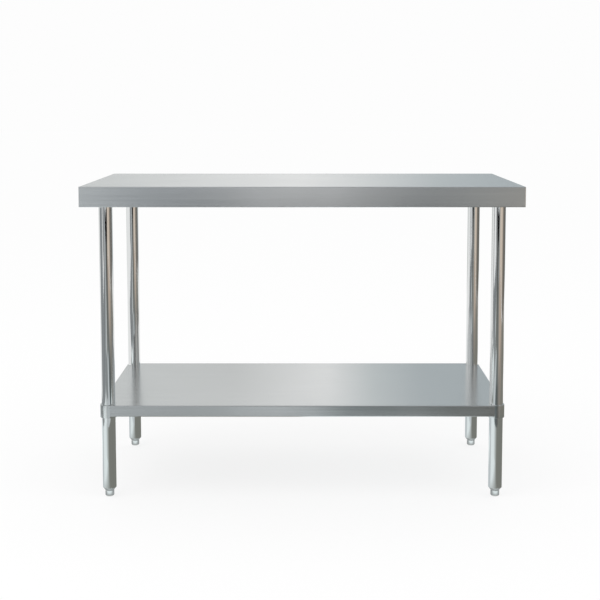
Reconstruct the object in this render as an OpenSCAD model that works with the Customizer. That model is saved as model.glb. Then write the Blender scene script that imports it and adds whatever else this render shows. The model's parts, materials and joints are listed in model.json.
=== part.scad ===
// Stainless work table with a folded worktop, round tube legs, an undershelf that slides on the legs
// and levelling feet. Millimetres, +Z up, front edge towards -Y, origin on the floor under the centre.

/* [Worktop] */
// Width of the worktop
top_w = 1219; // [900:1:1800]
// Depth of the worktop, front to back
top_d = 610; // [500:1:800]
// Height of the working surface above the floor
top_h = 880; // [800:1:960]
// Height of the folded edge
rim_h = 56; // [40:1:70]
// Thickness of the worktop sheet
top_t = 1.2; // [0.8:0.1:2]
// Inside radius of the worktop's folds
top_bend_r = 0.8; // [0.5:0.1:3]
// Reach of the lip folded inwards under the edge
top_lip = 18; // [10:1:28]

/* [Channels under the worktop] */
// Overall depth of the hat channels
channel_h = 16; // [12:1:20]
// Thickness of the channel sheet
channel_t = 1.5; // [1:0.1:2]
// Width of each channel flange
channel_flange = 18; // [14:1:22]
// Spare width of a crosswise channel's crown on each side of a leg socket
crown_side = 2; // [1:0.5:6]
// Width of the lengthwise channel's crown
centre_crown = 60; // [40:1:90]
// Gap between a crosswise channel's end and the folded edge
channel_end_gap = 8; // [4:1:20]
// Gap between the lengthwise channel's end and a crosswise channel
channel_meet_gap = 3; // [1:0.5:10]
// Thickness of the sound-deadening tape
tape_t = 1; // [0.5:0.1:2]
// Bare margin along each side of the tape
tape_margin = 1; // [0.5:0.5:3]
// Diameter of the weld studs
weld_stud_d = 5; // [4:0.5:6]
// Distance of the outer weld studs from the channel's end
weld_stud_end = 40; // [20:1:80]
// Weld studs along each flange of the lengthwise channel
centre_studs = 4; // [2:1:6]
// Height of the stud nuts
stud_nut_h = 4; // [3:0.5:6]
// Width of the stud nuts across flats
stud_nut_af = 8; // [7:0.5:10]
// Length of thread that shows past a nut
thread_past_nut = 1.5; // [0.5:0.5:4]

/* [Legs] */
// Diameter of the leg tube
leg_d = 38.1; // [32:0.1:48]
// Wall of the leg tube
leg_t = 1.2; // [1:0.1:2]
// Distance of a leg's axis from the side of the worktop
leg_inset_x = 65; // [60:0.5:100]
// Distance of a leg's axis from the front or back of the worktop
leg_inset_y = 51; // [50:0.5:90]

/* [Leg sockets] */
// Overall height of a leg socket
socket_h = 39; // [30:1:60]
// Wall of the socket's cup
socket_wall = 3.5; // [2.5:0.1:5]
// Radial gap between the cup and the leg
socket_gap = 0.2; // [0.1:0.05:0.4]
// Thickness of the socket's flange
socket_flange_t = 4; // [3:0.5:6]
// Reach of the flange past the cup
socket_flange_reach = 8; // [7:0.5:14]
// Distance of the flange screws from the flange's edges
socket_screw_edge = 7; // [6.5:0.5:9]
// Diameter of the flange screws
socket_screw_d = 6; // [5:0.5:6]
// Height of the flange screws' heads
screw_head_h = 4; // [3:0.5:5]
// Width of the flange screws' heads and nuts across flats
screw_af = 10; // [8:0.5:11]
// Height of the nuts on the flange screws
screw_nut_h = 5; // [3:0.5:6]

/* [Set screws] */
// Diameter of the set screws
set_d = 8; // [5:0.5:10]
// Width of the hexagon recess across flats
set_af = 4; // [2.5:0.5:4]
// Depth of the hexagon recess
set_recess = 4; // [2:0.5:6]
// Wall of the boss around a set screw
boss_wall = 3.5; // [2:0.5:5]
// Reach of the boss past the cup or collar
boss_reach = 6; // [4:0.5:10]
// Gap between a set screw's tip and the leg
set_tip_gap = 0.3; // [0.2:0.05:0.5]

/* [Undershelf] */
// Height of the shelf's surface above the floor
shelf_z = 265.4; // [180:0.1:500]
// Height of the shelf's folded edge
shelf_rim_h = 31.4; // [25:0.1:45]
// Thickness of the shelf sheet
shelf_t = 1; // [0.8:0.1:1.5]
// Inside radius of the shelf's folds
shelf_bend_r = 1; // [0.5:0.1:3]
// Reach of the lip folded inwards under the shelf's edge
shelf_lip = 12; // [6:1:18]
// Overall depth of the shelf's hat channel
shelf_channel_h = 20; // [12:1:24]
// Width of the shelf channel's crown
shelf_crown = 60; // [40:1:90]
// Width of each flange of the shelf channel
shelf_flange = 18; // [12:1:25]
// Thickness of the shelf channel's sheet
shelf_channel_t = 1.2; // [0.8:0.1:2]
// Gap between the shelf channel's ends and the shelf's folded edge
shelf_channel_gap = 20; // [12:1:60]

/* [Shelf collars] */
// Height of a collar
collar_h = 36.5; // [30:0.5:60]
// Wall of a collar
collar_wall = 3.65; // [2.5:0.05:6]
// Radial gap between a collar and the leg
collar_gap = 0.3; // [0.25:0.05:0.5]
// Gap between a collar and the edge of the shelf sheet
collar_seam = 0.15; // [0.1:0.05:0.3]
// Thickness of a collar's ears
ear_t = 3; // [2:0.5:5]
// Reach of the ears from the leg's axis
ear_reach = 45; // [35:1:70]
// Gap between an ear and the shelf's folds above and below it
ear_fold_gap = 0.5; // [0.3:0.1:2]

/* [Feet] */
// Height of the leg tube's end above the floor
foot_h = 27; // [25:0.5:40]
// Diameter of a foot
foot_d = 25; // [22:0.5:32]
// Radius of the foot's rounded nose
foot_nose_r = 6; // [3:0.5:9]
// Chamfer on the foot's shoulder
foot_chamfer = 1; // [0.5:0.1:2]
// Gap between a foot and the insert's nose when it is screwed right in
foot_gap = 0.3; // [0.2:0.05:0.6]
// Diameter of the foot's stud
stud_d = 12; // [8:0.5:14]
// Depth of the stud in the foot
stud_seat = 12; // [8:0.5:13]
// Length of the stud above the end of the leg tube
stud_reach = 45; // [40:1:80]
// Chamfer on the stud's tip
stud_chamfer = 1.2; // [0.5:0.1:2]
// Height of the threaded insert inside the leg
insert_h = 32; // [20:1:60]
// Height of the insert's tapered nose below the leg tube
insert_nose_h = 8; // [4:0.5:9]
// Step between the leg tube and the insert's nose
insert_nose_step = 0.3; // [0.1:0.1:1]
// Chamfer on the insert's upper edge
insert_chamfer = 2; // [0.5:0.5:3]
// Radial gap between the stud's thread and the insert
thread_gap = 0.25; // [0.2:0.05:0.4]

/* [Hidden] */
$fn = 64;
// Overlap of a cut past the face it opens
cut = 1;
// Radial gap round a fixed screw, pin or plug
fixed_gap = 0.1;
// Radial gap round a screw in a clearance hole
hole_gap = 0.3;
STEEL = [0.74, 0.76, 0.77];
TUBE = [0.66, 0.67, 0.67];
ZINC = [0.62, 0.65, 0.68];
BRIGHT = [0.86, 0.87, 0.88];
TAPE = [0.12, 0.12, 0.13];

// Places of the legs
leg_x = top_w / 2 - leg_inset_x;
leg_y = top_d / 2 - leg_inset_y;
FRONT_LEFT = [-1, -1];
FRONT_RIGHT = [1, -1];
REAR_LEFT = [-1, 1];
REAR_RIGHT = [1, 1];
CORNERS = [FRONT_LEFT, FRONT_RIGHT, REAR_LEFT, REAR_RIGHT];

// Leg socket across, from the tube outwards
socket_bore_r = leg_d / 2 + socket_gap;
socket_r = socket_bore_r + socket_wall;
socket_flange_w = 2 * (socket_r + socket_flange_reach);
socket_screw_at = socket_flange_w / 2 - socket_screw_edge;

// Heights under the worktop, from the sheet downwards
top_under = top_h - top_t;
flange_top = top_under - tape_t;
crown_under = flange_top - channel_h;
leg_top = crown_under - socket_flange_t;
socket_bottom = crown_under - socket_h;
socket_set_z = (leg_top + socket_bottom) / 2;

// Crosswise and lengthwise channels
cross_crown = socket_flange_w + 2 * crown_side;
cross_flange_x = cross_crown / 2 + channel_flange / 2;
cross_len = top_d - 2 * (top_t + channel_end_gap);
centre_flange_y = centre_crown / 2 + channel_flange / 2;
centre_len = 2 * (leg_x - cross_crown / 2 - channel_flange - channel_meet_gap);
cross_stud_y = cross_len / 2 - weld_stud_end;
centre_stud_x = centre_len / 2 - weld_stud_end;
weld_stud_len = tape_t + channel_t + stud_nut_h + thread_past_nut;

// Collar and shelf outline: the shelf's sides lie in line with the collars' outer sides
collar_bore_r = leg_d / 2 + collar_gap;
collar_r = collar_bore_r + collar_wall;
shelf_w = 2 * (leg_x + collar_r);
shelf_d = 2 * (leg_y + collar_r);
shelf_under = shelf_z - shelf_t;
shelf_bottom = shelf_z - shelf_rim_h;
notch_r = collar_r + collar_seam;
// Distance from a leg's axis at which the shelf's edge meets the collar
rim_end = sqrt(notch_r * notch_r - (notch_r - shelf_t) * (notch_r - shelf_t));
collar_set_z = shelf_z - collar_h / 2;
ear_top = shelf_under - shelf_bend_r - ear_fold_gap;
ear_bottom = shelf_bottom + shelf_t + shelf_bend_r + ear_fold_gap;
shelf_channel_len = shelf_w - 2 * (shelf_t + shelf_channel_gap);

boss_r = set_d / 2 + boss_wall;
foot_top = foot_h - insert_nose_h - foot_gap;
// A hexagon's corner radius from its width across flats
function hex_r(af) = af / 2 / cos(30);

// Places of the weld studs, each a list of points on the underside of the worktop
function cross_stud_points(side) = [
    for (flange = [-1, 1], row = [-1, 0, 1])
        [side * leg_x + flange * cross_flange_x, row * cross_stud_y]
];
function centre_stud_points() = [
    for (flange = [-1, 1], i = [0 : centre_studs - 1])
        [centre_stud_x * (2 * i / (centre_studs - 1) - 1), flange * centre_flange_y]
];
WELD_STUDS = concat(cross_stud_points(-1), cross_stud_points(1), centre_stud_points());
// Places of the flange screws round one socket
SOCKET_SCREWS = [for (x = [-1, 1], y = [-1, 1]) [x * socket_screw_at, y * socket_screw_at]];

// Shared shapes

module at_leg(corner) {
    translate([corner.x * leg_x, corner.y * leg_y, 0]) children();
}

// Rectangle with round corners, centred
module round_rect(w, h, r) {
    square([w - 2 * r, h], center = true);
    square([w, h - 2 * r], center = true);
    for (x = [-1, 1], y = [-1, 1])
        translate([x * (w / 2 - r), y * (h / 2 - r)]) circle(r);
}

// Block with its top at z = 0 and all its edges rounded as a folded sheet's are
module folded_block(w, d, h, r) {
    translate([0, 0, -h / 2])
        intersection() {
            linear_extrude(height = h + 2 * cut, center = true) round_rect(w, d, r);
            rotate([90, 0, 0]) linear_extrude(height = d + 2 * cut, center = true) round_rect(w, h, r);
            rotate([90, 0, 90]) linear_extrude(height = w + 2 * cut, center = true) round_rect(d, h, r);
        }
}

// Sheet folded down on four sides with a lip turned inwards, its surface at z = 0
module folded_pan(w, d, h, t, bend_r, lip) {
    difference() {
        folded_block(w, d, h, bend_r + t);
        translate([0, 0, -t]) folded_block(w - 2 * t, d - 2 * t, h - 2 * t, bend_r);
        translate([0, 0, -h]) cube([w - 2 * lip, d - 2 * lip, 2 * (t + bend_r)], center = true);
    }
}

// Outline of a hat channel hung from y = 0, crown downwards
module hat_outline(crown, flange, h, t) {
    for (side = [-1, 1]) {
        translate([side * (crown / 2 + flange / 2 - t / 2), -t / 2]) square([flange + t, t], center = true);
        translate([side * (crown / 2 - t / 2), -h / 2]) square([t, h], center = true);
    }
    translate([0, t / 2 - h]) square([crown, t], center = true);
}

// Hat channel along Y, hung from z = 0
module hat_channel(len, crown, flange, h, t) {
    rotate([90, 0, 0]) linear_extrude(height = len, center = true) hat_outline(crown, flange, h, t);
}

module hex_nut(af, h, bore_d) {
    linear_extrude(height = h)
        difference() {
            circle(hex_r(af), $fn = 6);
            circle(d = bore_d + 2 * fixed_gap);
        }
}

// Set screw along +X, its tip at the origin
module set_screw(len) {
    rotate([0, 90, 0])
        difference() {
            cylinder(d = set_d, h = len);
            translate([0, 0, len - set_recess]) cylinder(r = hex_r(set_af), h = set_recess + cut, $fn = 6);
        }
}

// Boss along +X that carries a set screw, reaching from the axis to past radius r
module set_boss(r) {
    rotate([0, 90, 0]) cylinder(r = boss_r, h = r + boss_reach);
}

// Threaded hole along +X through a boss
module set_hole(r) {
    rotate([0, 90, 0]) cylinder(d = set_d + 2 * fixed_gap, h = r + boss_reach + cut);
}

// Pieces of the worktop

module worktop() {
    color(STEEL)
        translate([0, 0, top_h]) folded_pan(top_w, top_d, rim_h, top_t, top_bend_r, top_lip);
}

module weld_stud_holes(points) {
    for (p = points)
        translate([p.x, p.y, flange_top - channel_t - cut])
            cylinder(d = weld_stud_d + 2 * hole_gap, h = channel_t + tape_t + 2 * cut);
}

module cross_channel(side) {
    color(ZINC)
        difference() {
            translate([side * leg_x, 0, flange_top])
                hat_channel(cross_len, cross_crown, channel_flange, channel_h, channel_t);
            weld_stud_holes(cross_stud_points(side));
            for (y = [-1, 1], p = SOCKET_SCREWS)
                translate([side * leg_x + p.x, y * leg_y + p.y, crown_under - cut])
                    cylinder(d = socket_screw_d + 2 * hole_gap, h = channel_t + 2 * cut);
        }
}

module channel_centre() {
    color(ZINC)
        difference() {
            translate([0, 0, flange_top]) rotate([0, 0, 90])
                hat_channel(centre_len, centre_crown, channel_flange, channel_h, channel_t);
            weld_stud_holes(centre_stud_points());
        }
}

module tape_strip(x, y, w, d) {
    translate([x - w / 2, y - d / 2, flange_top]) cube([w, d, tape_t]);
}

module channel_tape() {
    tape_w = channel_flange - 2 * tape_margin;
    color(TAPE)
        difference() {
            union() {
                for (side = [-1, 1], flange = [-1, 1])
                    tape_strip(side * leg_x + flange * cross_flange_x, 0, tape_w, cross_len);
                for (flange = [-1, 1])
                    tape_strip(0, flange * centre_flange_y, centre_len, tape_w);
            }
            weld_stud_holes(WELD_STUDS);
        }
}

module weld_studs() {
    color(ZINC)
        for (p = WELD_STUDS)
            translate([p.x, p.y, top_under - weld_stud_len]) cylinder(d = weld_stud_d, h = weld_stud_len);
}

module stud_nuts() {
    color(ZINC)
        for (p = WELD_STUDS)
            translate([p.x, p.y, flange_top - channel_t - stud_nut_h])
                hex_nut(stud_nut_af, stud_nut_h, weld_stud_d);
}

// Leg sockets and their screws

module leg_socket(corner) {
    color(ZINC)
        at_leg(corner)
            difference() {
                union() {
                    translate([0, 0, crown_under - socket_flange_t / 2])
                        cube([socket_flange_w, socket_flange_w, socket_flange_t], center = true);
                    translate([0, 0, socket_bottom]) cylinder(r = socket_r, h = socket_h);
                    translate([0, 0, socket_set_z]) mirror([corner.x > 0 ? 1 : 0, 0, 0]) set_boss(socket_r);
                }
                translate([0, 0, socket_bottom - cut])
                    cylinder(r = socket_bore_r, h = leg_top - socket_bottom + cut);
                translate([0, 0, socket_set_z]) mirror([corner.x > 0 ? 1 : 0, 0, 0]) set_hole(socket_r);
                for (p = SOCKET_SCREWS)
                    translate([p.x, p.y, leg_top - cut])
                        cylinder(d = socket_screw_d + 2 * hole_gap, h = socket_flange_t + 2 * cut);
            }
}

module socket_screws() {
    shank = socket_flange_t + channel_t + screw_nut_h + thread_past_nut;
    color(ZINC)
        for (corner = CORNERS, p = SOCKET_SCREWS)
            at_leg(corner) translate([p.x, p.y, leg_top]) {
                cylinder(d = socket_screw_d, h = shank);
                translate([0, 0, -screw_head_h]) cylinder(r = hex_r(screw_af), h = screw_head_h, $fn = 6);
            }
}

module socket_nuts() {
    color(ZINC)
        for (corner = CORNERS, p = SOCKET_SCREWS)
            at_leg(corner) translate([p.x, p.y, crown_under + channel_t])
                hex_nut(screw_af, screw_nut_h, socket_screw_d);
}

module socket_set_screws() {
    tip = leg_d / 2 + set_tip_gap;
    color(ZINC)
        for (corner = CORNERS)
            at_leg(corner) translate([0, 0, socket_set_z]) mirror([corner.x > 0 ? 1 : 0, 0, 0])
                translate([tip, 0, 0]) set_screw(socket_r + boss_reach - tip);
}

// Legs and what closes their lower ends

module leg(corner) {
    color(TUBE)
        at_leg(corner) translate([0, 0, foot_h])
            difference() {
                cylinder(d = leg_d, h = leg_top - foot_h);
                translate([0, 0, -cut]) cylinder(r = leg_d / 2 - leg_t, h = leg_top - foot_h + 2 * cut);
            }
}

module foot_insert(corner) {
    insert_r = leg_d / 2 - leg_t - fixed_gap;
    color(TUBE)
        at_leg(corner) translate([0, 0, foot_h])
            difference() {
                union() {
                    translate([0, 0, -insert_nose_h])
                        cylinder(r1 = foot_d / 2, r2 = leg_d / 2 - insert_nose_step, h = insert_nose_h);
                    cylinder(r = insert_r, h = insert_h - insert_chamfer);
                    translate([0, 0, insert_h - insert_chamfer])
                        cylinder(r1 = insert_r, r2 = insert_r - insert_chamfer, h = insert_chamfer);
                }
                translate([0, 0, -insert_nose_h - cut])
                    cylinder(r = stud_d / 2 + thread_gap, h = insert_h + insert_nose_h + 2 * cut);
            }
}

// Undershelf and its collars

// Corner cut out of the shelf: round inside, square where the folded edges end at the collar
module shelf_notch(corner) {
    translate([corner.x * leg_x, corner.y * leg_y])
        mirror([corner.x < 0 ? 1 : 0, 0]) mirror([0, corner.y < 0 ? 1 : 0]) {
            circle(notch_r);
            translate([-rim_end, 0]) square([rim_end + notch_r + cut, notch_r + cut]);
            translate([0, -rim_end]) square([notch_r + cut, rim_end + notch_r + cut]);
        }
}

module undershelf() {
    color(STEEL)
        difference() {
            translate([0, 0, shelf_z]) folded_pan(shelf_w, shelf_d, shelf_rim_h, shelf_t, shelf_bend_r, shelf_lip);
            for (corner = CORNERS)
                translate([0, 0, shelf_bottom - cut]) linear_extrude(height = shelf_rim_h + 2 * cut)
                    shelf_notch(corner);
        }
}

module shelf_channel() {
    color(ZINC)
        translate([0, 0, shelf_under]) rotate([0, 0, 90])
            hat_channel(shelf_channel_len, shelf_crown, shelf_flange, shelf_channel_h, shelf_channel_t);
}

// Turns +X towards the middle of the table from a corner
module inward(corner) {
    rotate([0, 0, atan2(-corner.y, -corner.x)]) children();
}

module shelf_collar(corner) {
    ear_face = collar_r - shelf_t;
    color(STEEL)
        at_leg(corner)
            difference() {
                union() {
                    translate([0, 0, shelf_z - collar_h]) cylinder(r = collar_r, h = collar_h);
                    translate([0, 0, collar_set_z]) inward(corner) set_boss(collar_r);
                    mirror([corner.x > 0 ? 1 : 0, 0, 0]) mirror([0, corner.y > 0 ? 1 : 0, 0]) {
                        translate([0, -ear_face, ear_bottom]) cube([ear_reach, ear_t, ear_top - ear_bottom]);
                        translate([-ear_face, 0, ear_bottom]) cube([ear_t, ear_reach, ear_top - ear_bottom]);
                    }
                }
                translate([0, 0, shelf_z - collar_h - cut]) cylinder(r = collar_bore_r, h = collar_h + 2 * cut);
                translate([0, 0, collar_set_z]) inward(corner) set_hole(collar_r);
            }
}

module collar_set_screws() {
    tip = leg_d / 2 + set_tip_gap;
    color(ZINC)
        for (corner = CORNERS)
            at_leg(corner) translate([0, 0, collar_set_z]) inward(corner)
                translate([tip, 0, 0]) set_screw(collar_r + boss_reach - tip);
}

// Feet

// Half outline of a bullet foot standing on y = 0
module foot_outline() {
    square([foot_d / 2 - foot_nose_r, foot_top]);
    translate([foot_d / 2 - foot_nose_r, foot_nose_r])
        intersection() {
            circle(foot_nose_r);
            translate([0, -foot_nose_r]) square(foot_nose_r);
        }
    translate([0, foot_nose_r]) square([foot_d / 2, foot_top - foot_nose_r - foot_chamfer]);
    translate([0, foot_top - foot_chamfer])
        polygon([[0, 0], [foot_d / 2, 0], [foot_d / 2 - foot_chamfer, foot_chamfer], [0, foot_chamfer]]);
}

module foot(corner) {
    color(BRIGHT)
        at_leg(corner)
            difference() {
                rotate_extrude() foot_outline();
                translate([0, 0, foot_top - stud_seat])
                    cylinder(d = stud_d + 2 * fixed_gap, h = stud_seat + cut);
            }
}

module foot_stud(corner) {
    bottom = foot_top - stud_seat;
    straight = foot_h + stud_reach - stud_chamfer - bottom;
    color(ZINC)
        at_leg(corner) translate([0, 0, bottom]) {
            cylinder(d = stud_d, h = straight);
            translate([0, 0, straight])
                cylinder(d1 = stud_d, d2 = stud_d - 2 * stud_chamfer, h = stud_chamfer);
        }
}

worktop();
cross_channel(-1);  // channel_left
cross_channel(1);  // channel_right
channel_centre();
channel_tape();
weld_studs();
stud_nuts();
leg_socket(FRONT_LEFT);  // leg_socket_front_left
leg_socket(FRONT_RIGHT);  // leg_socket_front_right
leg_socket(REAR_LEFT);  // leg_socket_rear_left
leg_socket(REAR_RIGHT);  // leg_socket_rear_right
socket_screws();
socket_nuts();
socket_set_screws();
leg(FRONT_LEFT);  // leg_front_left
leg(FRONT_RIGHT);  // leg_front_right
leg(REAR_LEFT);  // leg_rear_left
leg(REAR_RIGHT);  // leg_rear_right
foot_insert(FRONT_LEFT);  // foot_insert_front_left
foot_insert(FRONT_RIGHT);  // foot_insert_front_right
foot_insert(REAR_LEFT);  // foot_insert_rear_left
foot_insert(REAR_RIGHT);  // foot_insert_rear_right
undershelf();
shelf_channel();
shelf_collar(FRONT_LEFT);  // shelf_collar_front_left
shelf_collar(FRONT_RIGHT);  // shelf_collar_front_right
shelf_collar(REAR_LEFT);  // shelf_collar_rear_left
shelf_collar(REAR_RIGHT);  // shelf_collar_rear_right
collar_set_screws();
foot(FRONT_LEFT);  // foot_front_left
foot(FRONT_RIGHT);  // foot_front_right
foot(REAR_LEFT);  // foot_rear_left
foot(REAR_RIGHT);  // foot_rear_right
foot_stud(FRONT_LEFT);  // foot_stud_front_left
foot_stud(FRONT_RIGHT);  // foot_stud_front_right
foot_stud(REAR_LEFT);  // foot_stud_rear_left
foot_stud(REAR_RIGHT);  // foot_stud_rear_right
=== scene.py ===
"""Looks of a stainless work table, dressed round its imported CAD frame.

Metres, +Z up, with the table's front towards -Y.
"""
import json
import math

import bmesh
import bpy
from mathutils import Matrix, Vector


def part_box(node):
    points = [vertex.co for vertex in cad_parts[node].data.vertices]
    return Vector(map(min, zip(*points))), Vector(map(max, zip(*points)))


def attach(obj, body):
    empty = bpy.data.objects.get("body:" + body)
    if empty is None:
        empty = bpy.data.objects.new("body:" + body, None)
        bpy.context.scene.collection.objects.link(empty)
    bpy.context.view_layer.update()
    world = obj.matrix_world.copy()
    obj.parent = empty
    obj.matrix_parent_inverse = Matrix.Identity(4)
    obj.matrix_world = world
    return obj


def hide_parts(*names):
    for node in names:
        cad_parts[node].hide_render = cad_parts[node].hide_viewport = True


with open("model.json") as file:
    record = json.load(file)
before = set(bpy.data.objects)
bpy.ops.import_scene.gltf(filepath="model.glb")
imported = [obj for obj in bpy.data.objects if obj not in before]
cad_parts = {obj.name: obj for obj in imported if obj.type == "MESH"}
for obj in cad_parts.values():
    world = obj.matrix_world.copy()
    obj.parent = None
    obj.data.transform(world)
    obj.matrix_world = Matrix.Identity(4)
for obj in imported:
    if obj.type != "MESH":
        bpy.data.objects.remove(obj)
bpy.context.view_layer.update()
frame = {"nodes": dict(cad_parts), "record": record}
nodes = frame["nodes"]
SLOTS = {subpart["node"]: subpart["material_slot"] for subpart in frame["record"]["subparts"]}

MM = 0.001
SAME_POINT = 0.001 * MM
RIGHT = (1, 0, 0)
BACK = (0, 1, 0)
UP = (0, 0, 1)
DOWN = (0, 0, -1)
CORNERS = ("front_left", "front_right", "rear_left", "rear_right")

# Metric threads: the levelling feet, the weld studs under the worktop and the leg sockets' screws
FOOT_PITCH = 1.75 * MM
WELD_STUD_D = 5 * MM
WELD_STUD_PITCH = 0.8 * MM
SCREW_D = 6 * MM
SCREW_PITCH = 1.0 * MM
SCREW_HEAD_H = 4 * MM

# Form of a metric thread: its depth and flats as shares of its pitch, and the steps in one turn
THREAD_DEPTH = 0.613
ROOT_FLAT = 1 / 4
CREST_FLAT = 1 / 8
THREAD_STEPS = 32

# Hexagon nuts and heads: the round end face is a share of the width across the flats
END_FACE = 0.94
CHAMFER_ANGLE = math.radians(30)
HEXAGON_STEPS = 48

# Edges of the castings and bends of the folded channels
CAST_EDGE_R = 0.6 * MM
BEND_INNER_R = 1.5 * MM

# Angles between faces: below the first they are one flat face, above the others a sharp edge and a corner
FLAT_ANGLE = math.radians(0.5)
SHARP_ANGLE = math.radians(35)
CORNER_ANGLE = math.radians(60)

# Sockets of a Mix node that mixes vectors
MIX_A = 4
MIX_B = 5
MIX_RESULT = 1


# Colours and nodes

def linear(hex_code):
    """Linear RGBA of an sRGB hex colour."""
    parts = [int(hex_code[i:i + 2], 16) / 255 for i in (1, 3, 5)]
    return [c / 12.92 if c <= 0.04045 else ((c + 0.055) / 1.055) ** 2.4 for c in parts] + [1]


def add(tree, kind, inputs=None, stops=None, **settings):
    """Adds a node to a tree, with its settings, its inputs as values or links, and its colour stops."""
    made = tree.nodes.new(kind)
    for name, value in settings.items():
        setattr(made, name, value)
    for name, value in (inputs or {}).items():
        if isinstance(value, bpy.types.NodeSocket):
            tree.links.new(value, made.inputs[name])
        else:
            made.inputs[name].default_value = value
    for i, (place, colour) in enumerate(stops or []):
        stop = made.color_ramp.elements[i] if i < 2 else made.color_ramp.elements.new(place)
        stop.position = place
        stop.color = linear(colour)
    return made


def new_material(name):
    """An empty node material and its tree."""
    made = bpy.data.materials.new(name)
    made.use_nodes = True
    made.node_tree.nodes.clear()
    return made, made.node_tree


def finish_metal(tree, colour, roughness, normal=None, more=None):
    """Closes a metal's tree with its shader. Colour and roughness are sockets of its pattern."""
    inputs = {"Base Color": colour, "Roughness": roughness, "Metallic": 1.0}
    inputs.update(more or {})
    if normal:
        inputs["Normal"] = normal
    shader = add(tree, "ShaderNodeBsdfPrincipled", inputs)
    add(tree, "ShaderNodeOutputMaterial", {"Surface": shader.outputs[0]})


# Materials

def brushed_stainless_sheet():
    """Stainless sheet with a No. 4 belt finish: soft grey reflections, drawn out across fine straight
    lines. The lines run along X, and down the end faces, where the same sheet is folded."""
    line_w = 4 * MM  # real lines are about 0.2 mm apart, drawn coarser so that they show
    line_l = 420 * MM
    cloud = 180 * MM
    end_slope = 0.7  # the normal of an end face points along X by more than this
    line_weight = 0.7  # weight of the lines in the roughness, beside that of the clouds
    made, tree = new_material("brushed_stainless_sheet")
    place = add(tree, "ShaderNodeTexCoord")
    facing = add(tree, "ShaderNodeSeparateXYZ", {"Vector": place.outputs["Normal"]})
    sideways = add(tree, "ShaderNodeMath", {0: facing.outputs["X"]}, operation="ABSOLUTE")
    on_end = add(tree, "ShaderNodeMath", {0: sideways.outputs[0], 1: end_slope}, operation="GREATER_THAN")
    along = add(tree, "ShaderNodeMapping", {
        "Vector": place.outputs["Object"], "Scale": (1 / line_l, 1 / line_w, 1 / line_w)})
    down = add(tree, "ShaderNodeMapping", {
        "Vector": place.outputs["Object"], "Scale": (1 / line_w, 1 / line_w, 1 / line_l)})
    lines_at = add(tree, "ShaderNodeMix", {
        "Factor": on_end.outputs[0], MIX_A: along.outputs[0], MIX_B: down.outputs[0]}, data_type="VECTOR")
    lines = add(tree, "ShaderNodeTexNoise", {
        "Vector": lines_at.outputs[MIX_RESULT], "Scale": 1.0, "Detail": 4.0})
    haze = add(tree, "ShaderNodeTexNoise", {
        "Vector": place.outputs["Object"], "Scale": 1 / cloud, "Detail": 2.0})
    both = add(tree, "ShaderNodeMath", {
        0: lines.outputs["Fac"], 1: line_weight, 2: haze.outputs["Fac"]}, operation="MULTIPLY_ADD")
    rough = add(tree, "ShaderNodeMapRange", {
        "Value": both.outputs[0], "From Min": 0.5, "From Max": 1.2, "To Min": 0.2, "To Max": 0.26})
    tint = add(tree, "ShaderNodeValToRGB", {"Fac": lines.outputs["Fac"]},
               stops=[(0.3, "#d2d4d5"), (0.7, "#dadcdd")])
    relief = add(tree, "ShaderNodeBump", {
        "Height": lines.outputs["Fac"], "Strength": 0.08, "Distance": 0.02 * MM})
    belt = add(tree, "ShaderNodeMix", {
        "Factor": on_end.outputs[0], MIX_A: RIGHT, MIX_B: UP}, data_type="VECTOR")
    across = add(tree, "ShaderNodeVectorMath", {
        0: place.outputs["Normal"], 1: belt.outputs[MIX_RESULT]}, operation="CROSS_PRODUCT")
    finish_metal(tree, tint.outputs[0], rough.outputs[0], relief.outputs[0],
                 {"Anisotropic": 0.45, "Tangent": across.outputs[0]})
    return made


def polished_stainless_tube():
    """Welded stainless tube polished along its length: a near mirror with faint lines and soft clouds."""
    line_w = 0.8 * MM  # real polishing lines are under 0.1 mm, drawn coarser so that they show close up
    line_l = 300 * MM
    cloud = 60 * MM
    made, tree = new_material("polished_stainless_tube")
    place = add(tree, "ShaderNodeTexCoord")
    down = add(tree, "ShaderNodeMapping", {
        "Vector": place.outputs["Object"], "Scale": (1 / line_w, 1 / line_w, 1 / line_l)})
    lines = add(tree, "ShaderNodeTexNoise", {"Vector": down.outputs[0], "Scale": 1.0, "Detail": 2.0})
    haze = add(tree, "ShaderNodeTexNoise", {
        "Vector": place.outputs["Object"], "Scale": 1 / cloud, "Detail": 3.0})
    rough = add(tree, "ShaderNodeMapRange", {
        "Value": haze.outputs["Fac"], "From Min": 0.3, "From Max": 0.7, "To Min": 0.04, "To Max": 0.09})
    tint = add(tree, "ShaderNodeValToRGB", {"Fac": lines.outputs["Fac"]},
               stops=[(0.25, "#dadcdc"), (0.75, "#e3e5e5")])
    relief = add(tree, "ShaderNodeBump", {
        "Height": lines.outputs["Fac"], "Strength": 0.15, "Distance": 0.01 * MM})
    finish_metal(tree, tint.outputs[0], rough.outputs[0], relief.outputs[0])
    return made


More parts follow.
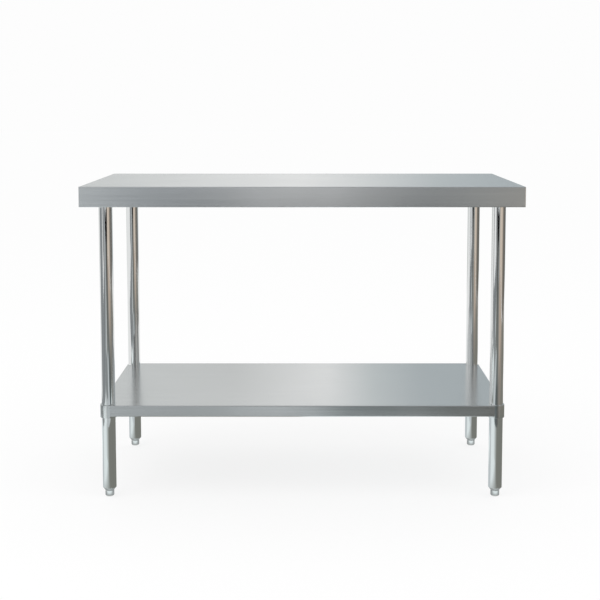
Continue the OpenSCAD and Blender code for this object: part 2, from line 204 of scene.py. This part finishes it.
def polished_stainless_collar():
    """Cast stainless collar, ground and buffed: bright, with a grain less even than the tube's."""
    grain = 1.2 * MM  # real grit marks are under 0.2 mm, drawn coarser so that they show close up
    cloud = 25 * MM
    made, tree = new_material("polished_stainless_collar")
    place = add(tree, "ShaderNodeTexCoord")
    fine = add(tree, "ShaderNodeTexNoise", {
        "Vector": place.outputs["Object"], "Scale": 1 / grain, "Detail": 2.0})
    haze = add(tree, "ShaderNodeTexNoise", {
        "Vector": place.outputs["Object"], "Scale": 1 / cloud, "Detail": 3.0})
    rough = add(tree, "ShaderNodeMapRange", {
        "Value": haze.outputs["Fac"], "From Min": 0.3, "From Max": 0.7, "To Min": 0.08, "To Max": 0.14})
    tint = add(tree, "ShaderNodeValToRGB", {"Fac": haze.outputs["Fac"]},
               stops=[(0.3, "#d2d5d5"), (0.7, "#dcdede")])
    relief = add(tree, "ShaderNodeBump", {
        "Height": fine.outputs["Fac"], "Strength": 0.1, "Distance": 0.02 * MM})
    finish_metal(tree, tint.outputs[0], rough.outputs[0], relief.outputs[0])
    return made


def bright_chrome():
    """Chrome plate on a turned foot: a clear mirror, a little dulled by handling."""
    cloud = 12 * MM
    made, tree = new_material("bright_chrome")
    place = add(tree, "ShaderNodeTexCoord")
    haze = add(tree, "ShaderNodeTexNoise", {
        "Vector": place.outputs["Object"], "Scale": 1 / cloud, "Detail": 3.0})
    rough = add(tree, "ShaderNodeMapRange", {
        "Value": haze.outputs["Fac"], "From Min": 0.3, "From Max": 0.7, "To Min": 0.04, "To Max": 0.11})
    tint = add(tree, "ShaderNodeValToRGB", {"Fac": haze.outputs["Fac"]},
               stops=[(0.3, "#dcdede"), (0.7, "#e6e8e8")])
    finish_metal(tree, tint.outputs[0], rough.outputs[0])
    return made


def galvanised_steel():
    """Hot-dip galvanised sheet: dull blue-grey, with flat zinc crystals of slightly different greys."""
    spangle = 9 * MM
    wander = 0.4 * spangle  # how far the crystals' borders stray from straight
    made, tree = new_material("galvanised_steel")
    place = add(tree, "ShaderNodeTexCoord")
    bend = add(tree, "ShaderNodeTexNoise", {
        "Vector": place.outputs["Object"], "Scale": 1 / spangle, "Detail": 2.0})
    bent = add(tree, "ShaderNodeVectorMath", {
        0: bend.outputs["Color"], 1: (wander, wander, wander), 2: place.outputs["Object"]},
        operation="MULTIPLY_ADD")
    crystals = add(tree, "ShaderNodeTexVoronoi", {"Vector": bent.outputs[0], "Scale": 1 / spangle})
    shade = add(tree, "ShaderNodeSeparateColor", {"Color": crystals.outputs["Color"]})
    tint = add(tree, "ShaderNodeValToRGB", {"Fac": shade.outputs[0]},
               stops=[(0.0, "#a3aaaf"), (1.0, "#c0c6ca")])
    rough = add(tree, "ShaderNodeMapRange", {
        "Value": shade.outputs[1], "To Min": 0.32, "To Max": 0.5})
    relief = add(tree, "ShaderNodeBump", {
        "Height": bend.outputs["Fac"], "Strength": 0.15, "Distance": 0.1 * MM})
    finish_metal(tree, tint.outputs[0], rough.outputs[0], relief.outputs[0])
    return made


def zinc_plated_steel():
    """Bright zinc plate with a clear passivation: bluish, with faint straw patches."""
    patch = 4 * MM
    made, tree = new_material("zinc_plated_steel")
    place = add(tree, "ShaderNodeTexCoord")
    haze = add(tree, "ShaderNodeTexNoise", {
        "Vector": place.outputs["Object"], "Scale": 1 / patch, "Detail": 3.0})
    tint = add(tree, "ShaderNodeValToRGB", {"Fac": haze.outputs["Fac"]},
               stops=[(0.3, "#b3bdc6"), (0.7, "#c6c6bd")])
    rough = add(tree, "ShaderNodeMapRange", {
        "Value": haze.outputs["Fac"], "From Min": 0.3, "From Max": 0.7, "To Min": 0.2, "To Max": 0.34})
    finish_metal(tree, tint.outputs[0], rough.outputs[0])
    return made


def butyl_tape():
    """Black butyl sound-deadening tape: dull, slightly tacky, with a fine pebble."""
    pebble = 1.5 * MM
    made, tree = new_material("butyl_tape")
    place = add(tree, "ShaderNodeTexCoord")
    grain = add(tree, "ShaderNodeTexNoise", {
        "Vector": place.outputs["Object"], "Scale": 1 / pebble, "Detail": 3.0})
    tint = add(tree, "ShaderNodeValToRGB", {"Fac": grain.outputs["Fac"]},
               stops=[(0.3, "#1b1b1d"), (0.7, "#29292b")])
    relief = add(tree, "ShaderNodeBump", {
        "Height": grain.outputs["Fac"], "Strength": 0.4, "Distance": 0.2 * MM})
    shader = add(tree, "ShaderNodeBsdfPrincipled", {
        "Base Color": tint.outputs[0], "Roughness": 0.7, "Normal": relief.outputs[0]})
    add(tree, "ShaderNodeOutputMaterial", {"Surface": shader.outputs[0]})
    return made


FINISHES = {
    "brushed_stainless": brushed_stainless_sheet(),
    "polished_stainless_tube": polished_stainless_tube(),
    "polished_stainless_collar": polished_stainless_collar(),
    "bright_chrome_foot": bright_chrome(),
    "galvanised_steel": galvanised_steel(),
    "zinc_plated_steel": zinc_plated_steel(),
    "deadening_tape": butyl_tape(),
}
for node, slot in SLOTS.items():
    nodes[node].material_slots[0].material = FINISHES[slot]


# New pieces

def merged(node):
    """A copy of a CAD node's mesh with its loose triangles joined."""
    bm = bmesh.new()
    bm.from_mesh(nodes[node].data)
    bmesh.ops.remove_doubles(bm, verts=bm.verts, dist=SAME_POINT)
    return bm


def new_piece(name, shapes, body, node):
    """Joins shapes into one piece that rides on a body, stands for a CAD node and takes its finish.
    Each shape is copied to the points that it stands on."""
    slot = SLOTS[node]
    mesh = bpy.data.meshes.new(name)
    whole = bmesh.new()
    for shape, points in shapes:
        shape.to_mesh(mesh)
        shape.free()
        for point in points:
            before = len(whole.verts)
            whole.from_mesh(mesh)
            whole.verts.ensure_lookup_table()
            bmesh.ops.translate(whole, verts=whole.verts[before:], vec=point)
    whole.to_mesh(mesh)
    whole.free()
    mesh.shade_smooth()
    mesh.set_sharp_from_angle(angle=SHARP_ANGLE)
    mesh.materials.append(FINISHES[slot])
    piece = bpy.data.objects.new(name, mesh)
    bpy.context.scene.collection.objects.link(piece)
    piece.modifiers.new("flat_faces_stay_flat", "WEIGHTED_NORMAL").keep_sharp = True
    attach(piece, body)
    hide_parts(node)


# Castings and folded channels

def whole_faced(node):
    """A copy of a CAD node's mesh in which each flat face is one face."""
    bm = merged(node)
    bmesh.ops.dissolve_limit(bm, angle_limit=FLAT_ANGLE, verts=bm.verts, edges=bm.edges)
    return bm


def is_corner(edge):
    """Whether two faces meet at a corner along an edge."""
    return edge.is_manifold and edge.calc_face_angle() > CORNER_ANGLE


def round_edges(bm, edges, radius, segments):
    """Rounds edges by a radius."""
    bmesh.ops.bevel(bm, geom=edges, offset=radius, offset_type="OFFSET", segments=segments, profile=0.5,
                    affect="EDGES", material=-1)


def soft_edged(node):
    """A casting with the edges of its outermost faces ground round."""
    bm = whole_faced(node)
    low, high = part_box(node)
    outermost = {vert for vert in bm.verts
                 if min(min(vert.co - low), min(high - vert.co)) < SAME_POINT}
    edges = [edge for edge in bm.edges
             if edge.is_convex and is_corner(edge) and outermost.issuperset(edge.verts)]
    round_edges(bm, edges, CAST_EDGE_R, segments=3)
    return bm


def bent_sheet(node):
    """A hat channel bent from sheet: each square corner becomes a bend, and the sheet stays as thick."""
    bm = whole_faced(node)
    low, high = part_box(node)
    size = high - low
    along = 0 if size.x > size.y else 1
    across = 1 - along
    middle = (low[across] + high[across]) / 2
    reach = {edge: abs(edge.verts[0].co[across] - middle) for edge in bm.edges
             if edge.calc_length() > size[along] / 2 and is_corner(edge)}
    bends = [edge for edge in reach if reach[edge] < size[across] / 2 - SAME_POINT]
    outer = [edge for edge in bends if edge.is_convex]
    inner = [edge for edge in bends if not edge.is_convex]
    reaches = [reach[edge] for edge in bends]
    sheet = max(reaches) - min(reaches)
    round_edges(bm, outer, BEND_INNER_R + sheet, segments=5)
    round_edges(bm, inner, BEND_INNER_R, segments=5)
    return bm


IN_PLACE = [Vector()]
for corner in CORNERS:
    for casting, body in (("shelf_collar_", "shelf"), ("leg_socket_", "frame")):
        node = casting + corner
        new_piece("cast_" + node, [(soft_edged(node), IN_PLACE)], body, node)
for node, body in (("channel_left", "frame"), ("channel_right", "frame"), ("channel_centre", "frame"),
                   ("shelf_channel", "shelf")):
    new_piece("bent_" + node, [(bent_sheet(node), IN_PLACE)], body, node)


# Fasteners

def solids(node):
    """Lowest and highest corners of each separate solid in a CAD node."""
    bm = merged(node)
    left = set(bm.verts)
    boxes = []
    while left:
        reached = [left.pop()]
        for vert in reached:
            beside = {edge.other_vert(vert) for edge in vert.link_edges} & left
            left -= beside
            reached += beside
        places = list(zip(*(vert.co for vert in reached)))
        boxes.append((Vector(map(min, places)), Vector(map(max, places))))
    bm.free()
    return sorted(boxes, key=lambda box: tuple(box[0]))


def size_of(boxes):
    """Size of one of several equal boxes."""
    low, high = boxes[0]
    return high - low


def undersides(boxes):
    """Middle of the underside of each box."""
    return [Vector(((low.x + high.x) / 2, (low.y + high.y) / 2, low.z)) for low, high in boxes]


def turned(outline, steps, rise=0):
    """A shape turned from an outline of radii and heights, as on a lathe. It may rise along Z in its
    one turn."""
    bm = bmesh.new()
    verts = [bm.verts.new((reach, 0, height)) for reach, height in outline]
    edges = [bm.edges.new(pair) for pair in zip(verts, verts[1:])]
    bmesh.ops.spin(bm, geom=verts + edges, axis=UP, dvec=(0, 0, rise / steps),
                   angle=math.tau, steps=steps, use_merge=not rise)
    bmesh.ops.remove_doubles(bm, verts=bm.verts, dist=SAME_POINT)
    return bm


def cut_off(bm, point, outward):
    """Saws away what lies past a plane and closes the cut."""
    bmesh.ops.bisect_plane(bm, geom=bm.verts[:] + bm.edges[:] + bm.faces[:], dist=SAME_POINT,
                           plane_co=point, plane_no=outward, clear_outer=True)
    bmesh.ops.holes_fill(bm, edges=bm.edges, sides=0)


def threaded_rod(length, diameter, pitch):
    """A metric thread standing on the origin, cut off square, with its ends chamfered to the root."""
    crest = diameter / 2
    root = crest - THREAD_DEPTH * pitch
    root_flat = ROOT_FLAT * pitch
    flank = (pitch - root_flat - CREST_FLAT * pitch) / 2
    outline = [(root, 0), (root, root_flat), (crest, root_flat + flank), (crest, pitch - flank),
               (root, pitch)]
    bm = turned(outline, THREAD_STEPS, rise=pitch)
    one_turn = bm.verts[:] + bm.edges[:] + bm.faces[:]
    for i in range(1, math.ceil(length / pitch) + 2):
        copied = bmesh.ops.duplicate(bm, geom=one_turn)["geom"]
        verts = [part for part in copied if isinstance(part, bmesh.types.BMVert)]
        bmesh.ops.translate(bm, verts=verts, vec=(0, 0, i * pitch))
    bmesh.ops.remove_doubles(bm, verts=bm.verts, dist=SAME_POINT)
    bmesh.ops.translate(bm, verts=bm.verts, vec=(0, 0, -pitch))
    cut_off(bm, (0, 0, 0), DOWN)
    cut_off(bm, (0, 0, length), UP)
    for vert in bm.verts:
        allowed = root + min(vert.co.z, length - vert.co.z)
        vert.co.xy *= min(1, allowed / vert.co.xy.length)
    bmesh.ops.recalc_face_normals(bm, faces=bm.faces)
    return bm


def hexagon(corners, flats, height, bore=0):
    """A hexagon nut or head, by its widths across corners and flats, standing on the origin with a
    corner towards +X. It is turned with a chamfer at both ends, and then cut flat on its six sides."""
    corner = corners / 2
    face = END_FACE * flats / 2
    chamfer = (corner - face) * math.tan(CHAMFER_ANGLE)
    outline = [(bore, 0), (face, 0), (corner, chamfer), (corner, height - chamfer), (face, height),
               (bore, height)]
    if bore:
        outline.append((bore, 0))
    bm = turned(outline, HEXAGON_STEPS)
    for side in range(6):
        turn = math.radians(30 + 60 * side)
        outward = Vector((math.cos(turn), math.sin(turn), 0))
        cut_off(bm, outward * flats / 2, outward)
    bmesh.ops.recalc_face_normals(bm, faces=bm.faces)
    return bm


for corner in CORNERS:
    stud = solids("foot_stud_" + corner)
    size = size_of(stud)
    new_piece("threaded_foot_stud_" + corner,
              [(threaded_rod(size.z, size.x, FOOT_PITCH), undersides(stud))],
              "levelling_foot_" + corner, "foot_stud_" + corner)

studs = solids("weld_studs")
size = size_of(studs)
new_piece("threaded_weld_studs", [(threaded_rod(size.z, size.x, WELD_STUD_PITCH), undersides(studs))],
          "frame", "weld_studs")

for node, bore_d in (("stud_nuts", WELD_STUD_D), ("socket_nuts", SCREW_D)):
    nuts = solids(node)
    size = size_of(nuts)
    new_piece("chamfered_" + node,
              [(hexagon(size.x, size.y, size.z, bore_d / 2), undersides(nuts))], "frame", node)

screws = solids("socket_screws")
size = size_of(screws)
shoulders = [point + Vector((0, 0, SCREW_HEAD_H)) for point in undersides(screws)]
new_piece("hexagon_socket_screws", [
    (hexagon(size.x, size.y, SCREW_HEAD_H), undersides(screws)),
    (threaded_rod(size.z - SCREW_HEAD_H, SCREW_D, SCREW_PITCH), shoulders)], "frame", "socket_screws")


# Stage: floor, glowing cards that show only in the metal as painted reflections, lamps and world

def stage_plane(name, material, corners):
    """A flat sheet of the stage."""
    mesh = bpy.data.meshes.new(name)
    bm = bmesh.new()
    bm.faces.new([bm.verts.new(corner) for corner in corners])
    bm.to_mesh(mesh)
    bm.free()
    mesh.materials.append(material)
    made = bpy.data.objects.new(name, mesh)
    bpy.context.scene.collection.objects.link(made)
    return made


def seen_directly(tree):
    """Light Path's share of camera, mirror and transmission rays, from 0 to 1."""
    path = add(tree, "ShaderNodeLightPath")
    some = add(tree, "ShaderNodeMath", {
        0: path.outputs["Is Camera Ray"], 1: path.outputs["Is Glossy Ray"]}, operation="MAXIMUM")
    return add(tree, "ShaderNodeMath", {
        0: some.outputs[0], 1: path.outputs["Is Transmission Ray"]}, operation="MAXIMUM").outputs[0]


def white_paper():
    """White studio paper: it glows evenly where it is seen, and a share takes the table's shadow."""
    shadow_share = 0.2
    made, tree = new_material("white_paper")
    glow_share = add(tree, "ShaderNodeMath", {
        0: seen_directly(tree), 1: 1 - shadow_share}, operation="MULTIPLY")
    paper = add(tree, "ShaderNodeBsdfDiffuse", {"Color": linear("#f7f7f7")})
    glow = add(tree, "ShaderNodeEmission", {"Color": linear("#ffffff"), "Strength": 1.0})
    mixed = add(tree, "ShaderNodeMixShader", {
        0: glow_share.outputs[0], 1: paper.outputs[0], 2: glow.outputs[0]})
    add(tree, "ShaderNodeOutputMaterial", {"Surface": mixed.outputs[0]})
    return made


def only_in_metal(plane):
    """Leaves a card of the stage to mirror rays alone."""
    plane.visible_camera = False
    plane.visible_diffuse = False
    plane.visible_transmission = False
    plane.visible_shadow = False


def card_paint(name, colours, along):
    """Glowing paint of a studio card, which the metal shows as a painted reflection: one colour, or
    colours at distances in metres along a direction.
    """
    made, tree = new_material(name)
    glow = add(tree, "ShaderNodeEmission")
    if isinstance(colours, str):
        glow.inputs["Color"].default_value = linear(colours)
    else:
        first, last = colours[0][0], colours[-1][0]
        place = add(tree, "ShaderNodeTexCoord")
        reach = add(tree, "ShaderNodeVectorMath", {
            0: place.outputs["Object"], 1: along}, operation="DOT_PRODUCT")
        share = add(tree, "ShaderNodeMapRange", {
            "Value": reach.outputs["Value"], "From Min": first, "From Max": last})
        tint = add(tree, "ShaderNodeValToRGB", {"Fac": share.outputs[0]},
                   stops=[((distance - first) / (last - first), colour) for distance, colour in colours])
        tree.links.new(tint.outputs[0], glow.inputs["Color"])
    add(tree, "ShaderNodeOutputMaterial", {"Surface": glow.outputs[0]})
    return made


def card(name, corners, colours, along=RIGHT):
    """A glowing studio card that shows only in the metal, as a painted reflection."""
    only_in_metal(stage_plane(name, card_paint(name, colours, along), corners))


def facing_y(left, right, bottom, top, y):
    """Corners of an upright card across the table's front or back."""
    return [(left, y, bottom), (right, y, bottom), (right, y, top), (left, y, top)]


def facing_x(front, back, bottom, top, x):
    """Corners of an upright card along the table's end."""
    return [(x, front, bottom), (x, back, bottom), (x, back, top), (x, front, top)]


def level(left, right, front, back, z):
    """Corners of a card that lies flat."""
    return [(left, front, z), (right, front, z), (right, back, z), (left, back, z)]


FLOOR_REACH = 40
stage_plane("floor", white_paper(), level(-FLOOR_REACH, FLOOR_REACH, -FLOOR_REACH, FLOOR_REACH, z=0))

# Heights of the cards on the floor, in three layers
CARD_Z = 4 * MM
OVER_CARD_Z = 4.8 * MM
MAT_Z = 5.6 * MM

# Edges of the floor card under the table, which other cards meet
UNDER_LEFT = -1.3
UNDER_RIGHT = 1.45
UNDER_FRONT = -0.8
UNDER_BACK = 0.8

# Glowing cards behind the table, which paint the reflections in its flat tops
card("back_card", facing_y(left=-4.5, right=4.5, bottom=0, top=4, y=3.6), [
    (-1.2, "#e1e3e2"), (-0.6, "#eeefee"), (0.0, "#fcfcfb"), (0.4, "#e4e7e7"), (0.8, "#c6cdcf"),
    (1.2, "#bac2c5")])
card("shelf_card", facing_y(left=-1.3, right=1.3, bottom=0.3, top=0.84, y=1.5), [
    (-0.7, "#dddfde"), (-0.3, "#d9dad9"), (0.1, "#f9f9f8"), (0.3, "#ced4d5"), (0.5, "#bac2c5")])

# Glowing walls in front of the table and at its right end, which paint the reflections in its edges and
# legs, and a glowing ceiling, also seen only as a painted reflection
FRONT_WALL = {"left": -4.5, "right": 3.5, "y": -4.4}
BAND_BOTTOM = 0.6
BAND_TOP = 1.1
END_WALL = {"front": -4.3, "back": 3.3, "x": 3.4}
END_MIDDLE = 1
WALL_TOP = 3.3
card("front_wall", facing_y(bottom=0, top=BAND_BOTTOM, **FRONT_WALL), [
    (-1.8, "#a0a2a3"), (-1.5, "#dce0e2"), (-1.1, "#a2a8ac"), (-0.6, "#aaaeb2"), (-0.2, "#ffffff"),
    (0.2, "#ffffff"), (0.7, "#9fa4a7"), (1.6, "#a5a39c"), (1.9, "#e0d1c2")])
card("front_band", facing_y(bottom=BAND_BOTTOM, top=BAND_TOP, **FRONT_WALL), [
    (-1.8, "#d0d2d3"), (-1.5, "#f0f4f6"), (-1.1, "#a8aeb2"), (-0.6, "#b4b8bc"), (-0.2, "#ffffff"),
    (0.2, "#ffffff"), (0.7, "#a8adb0"), (1.6, "#bebbb4"), (1.9, "#e0d1c2")])
card("front_upper", facing_y(bottom=BAND_TOP, top=WALL_TOP, **FRONT_WALL), [
    (-0.2, "#d0d2d2"), (0.4, "#8a8c8c"), (1.2, "#6c6e6e"), (3.0, "#808282")])
card("side_card", facing_x(bottom=0, top=END_MIDDLE, **END_WALL), [
    (-4.0, "#e2d3c4"), (-2.3, "#dccbbb"), (-1.0, "#857f77"), (0.0, "#75716b")], along=BACK)
card("side_upper", facing_x(bottom=END_MIDDLE, top=WALL_TOP, **END_WALL), "#c8caca")
card("ceiling_card", level(left=-5, right=5, front=-5, back=5, z=4.2), "#b4b7b9")

# Painted reflections: a dark bar on a grey stand paints shade down the middle of the edges and legs, and a
# card paints the left leg's side
STAND_Y = -2.2
STAND_H = 0.5
BAR_TOP = 0.635
card("painted_shade_bar", [(-0.45, STAND_Y, STAND_H), (0.55, STAND_Y, STAND_H), (0.75, STAND_Y, BAR_TOP),
                  (-1.0, STAND_Y, BAR_TOP)],
     [(STAND_H, "#1c1c1c"), (0.6, "#080808")], along=UP)
card("painted_shade_stand", facing_y(left=-0.5, right=0.5, bottom=0, top=STAND_H, y=STAND_Y),
     [(0.0, "#80817c"), (STAND_H, "#5c5c5a")], along=UP)
card("left_card", facing_x(front=-0.46, back=-0.195, bottom=0.2, top=0.8, x=-0.8), "#94989a")

# Glowing cards on the floor before and beside the table, which paint the reflections in the shelf's edge,
# the legs and the left collar: painted shade on the left leg, and a painted highlight and painted shade on
# the left collar
FLOOR_STRIP = {"left": -3.2, "right": 3.2, "z": CARD_Z}
NEAR_FRONT = -1.6
card("floor_near", level(front=NEAR_FRONT, back=UNDER_FRONT, **FLOOR_STRIP), [
    (-1.45, "#8c9092"), (-1.25, "#c8cccd"), (-0.3, "#c8ced0"), (-0.1, "#dce1e3"), (0.0, "#d0d5d7"),
    (0.1, "#7e8688"), (0.2, "#687071"), (0.7, "#636563"), (1.1, "#908c86"), (1.8, "#a2988e")])
card("floor_card", level(front=FRONT_WALL["y"], back=NEAR_FRONT, **FLOOR_STRIP), [
    (-1.45, "#8c9092"), (-1.25, "#c8cccd"), (-0.3, "#c8ced0"), (-0.1, "#dce0e2"), (0.0, "#d0d5d6"),
    (0.15, "#8c9496"), (0.3, "#798181"), (0.7, "#737573"), (1.1, "#a09c95"), (1.8, "#c6b5a6")])
card("floor_side", level(left=UNDER_RIGHT, right=3.35, front=UNDER_FRONT, back=1.5, z=CARD_Z), "#8a8880")
card("leg_shade", level(left=-1.3, right=-0.4, front=-2.2, back=-1.4, z=OVER_CARD_Z), "#929697")
card("collar_light", level(left=-1.35, right=-0.85, front=-1.2, back=UNDER_FRONT, z=OVER_CARD_Z),
     "#f4fafa")
card("collar_shade", level(left=-1.6, right=UNDER_LEFT, front=UNDER_FRONT, back=0.5, z=CARD_Z), "#9a9e9e")

# Glowing cards round the lower legs and feet, which paint their reflections: a painted highlight to the
# left of each leg and painted shade to its right
PAINTED_HIGHLIGHT_WHITE = "#f6feff"
PAINTED_REFLECTION_GREY = "#d3d9dc"
PAINTED_SHADE_DARK = "#868781"
FOOT_PAINTED_SHADE_GREY = "#a9adad"


def leg_place(corner):
    """Where a leg stands."""
    low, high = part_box("leg_" + corner)
    return ((low + high) / 2).xy


# Low glowing flags that paint the reflections in the lower legs: one in front of the legs, and two back to
# back in the middle of the table
FLAG_H = 0.115
FLAG_Y = -0.6
FRONT_FLAG_RIGHT = 1.1
MIDDLE_FLAG_X = 4 * MM
MIDDLE_FLAG_BACK = 0.5


def highlight_to_painted_shade(before, after):
    """Painted reflection colours along X: a painted highlight that turns to painted shade past each leg,
    and bright again in the middle of the table.
    """
    left, right = leg_place("front_left").x, leg_place("front_right").x
    return [(left - before, PAINTED_HIGHLIGHT_WHITE), (left + after, PAINTED_SHADE_DARK), (-MIDDLE_FLAG_X, PAINTED_SHADE_DARK),
            (MIDDLE_FLAG_X, PAINTED_HIGHLIGHT_WHITE), (right - before, PAINTED_HIGHLIGHT_WHITE), (right + after, PAINTED_SHADE_DARK)]


card("floor_under", level(UNDER_LEFT, UNDER_RIGHT, UNDER_FRONT, UNDER_BACK, CARD_Z),
     highlight_to_painted_shade(before=0.16, after=0.04))
card("front_flag", facing_y(left=UNDER_LEFT, right=FRONT_FLAG_RIGHT, bottom=0, top=FLAG_H, y=FLAG_Y),
     highlight_to_painted_shade(before=0.26, after=0.06))
card("middle_flag_left",
     facing_x(front=FLAG_Y, back=MIDDLE_FLAG_BACK, bottom=0, top=FLAG_H, x=-MIDDLE_FLAG_X), PAINTED_SHADE_DARK)
card("middle_flag_right",
     facing_x(front=FLAG_Y, back=MIDDLE_FLAG_BACK, bottom=0, top=FLAG_H, x=MIDDLE_FLAG_X),
     [(-0.27, PAINTED_HIGHLIGHT_WHITE), (-0.23, PAINTED_REFLECTION_GREY)], along=BACK)

# Glowing mats that paint reflections: a grey one that ends just left of each leg, and one under each foot,
# with a painted highlight towards its front and painted shade behind it
LEG_EDGE = 0.02
FOOT_MAT = 0.05
FOOT_MAT_FRONT = 0.075
FOOT_WHITE_Y = 0.035
FOOT_GREY_Y = 0.01
for corner in CORNERS:
    leg = leg_place(corner)
    mat_left = UNDER_LEFT if leg.x < 0 else MIDDLE_FLAG_X
    mat_back = 0 if leg.y < 0 else UNDER_BACK
    card("edge_reflection_mat_" + corner, level(mat_left, leg.x - LEG_EDGE, leg.y, mat_back, OVER_CARD_Z), PAINTED_REFLECTION_GREY)
    card("foot_reflection_mat_" + corner,
         level(leg.x - FOOT_MAT, leg.x + FOOT_MAT, leg.y - FOOT_MAT_FRONT, leg.y + FOOT_MAT, MAT_Z),
         [(leg.y - FOOT_WHITE_Y, PAINTED_HIGHLIGHT_WHITE), (leg.y - FOOT_GREY_Y, FOOT_PAINTED_SHADE_GREY)], along=BACK)

# Lamps and world
LAMP_AIM = Vector((0, 0, 0.4))


def soft_lamp(name, place, size, power):
    """A square soft lamp aimed at the middle of the table."""
    lamp = bpy.data.lights.new(name, "AREA")
    lamp.shape = "SQUARE"
    lamp.size = size
    lamp.energy = power
    made = bpy.data.objects.new(name, lamp)
    made.location = place
    made.rotation_euler = (LAMP_AIM - Vector(place)).to_track_quat("-Z", "Y").to_euler()
    made.visible_glossy = False
    bpy.context.scene.collection.objects.link(made)


soft_lamp("lamp_left", place=(-2.2, -1.8, 3.4), size=2.4, power=24)
soft_lamp("lamp_right", place=(2.4, -1.2, 3.0), size=2.0, power=10)

world = bpy.data.worlds.new("studio")
bpy.context.scene.world = world
world.use_nodes = True
world.node_tree.nodes.clear()
sky = add(world.node_tree, "ShaderNodeBackground", {"Color": linear("#fdfdfd"), "Strength": 1.0})
add(world.node_tree, "ShaderNodeOutputWorld", {"Surface": sky.outputs[0]})

# Camera: it looks down a little, and its axis meets the picture at the principal point
FRAME_PX = 600
FOCAL_PX = 1211
PRINCIPAL_X_PX = 308
PRINCIPAL_Y_PX = 216
SENSOR_MM = 36
EYE = (16 * MM, -3592 * MM, 1111 * MM)
LOOK_DOWN_DEG = 5.4
camera = bpy.data.cameras.new("camera")
camera.sensor_width = SENSOR_MM
camera.lens = FOCAL_PX / FRAME_PX * SENSOR_MM
camera.shift_x = (FRAME_PX / 2 - PRINCIPAL_X_PX) / FRAME_PX
camera.shift_y = (PRINCIPAL_Y_PX - FRAME_PX / 2) / FRAME_PX
camera.clip_end = 5 * FLOOR_REACH
eye = bpy.data.objects.new("camera", camera)
eye.location = EYE
eye.rotation_euler = (math.radians(90 - LOOK_DOWN_DEG), 0, 0)
bpy.context.scene.collection.objects.link(eye)
bpy.context.scene.camera = eye
bpy.context.scene.view_settings.view_transform = "Standard"
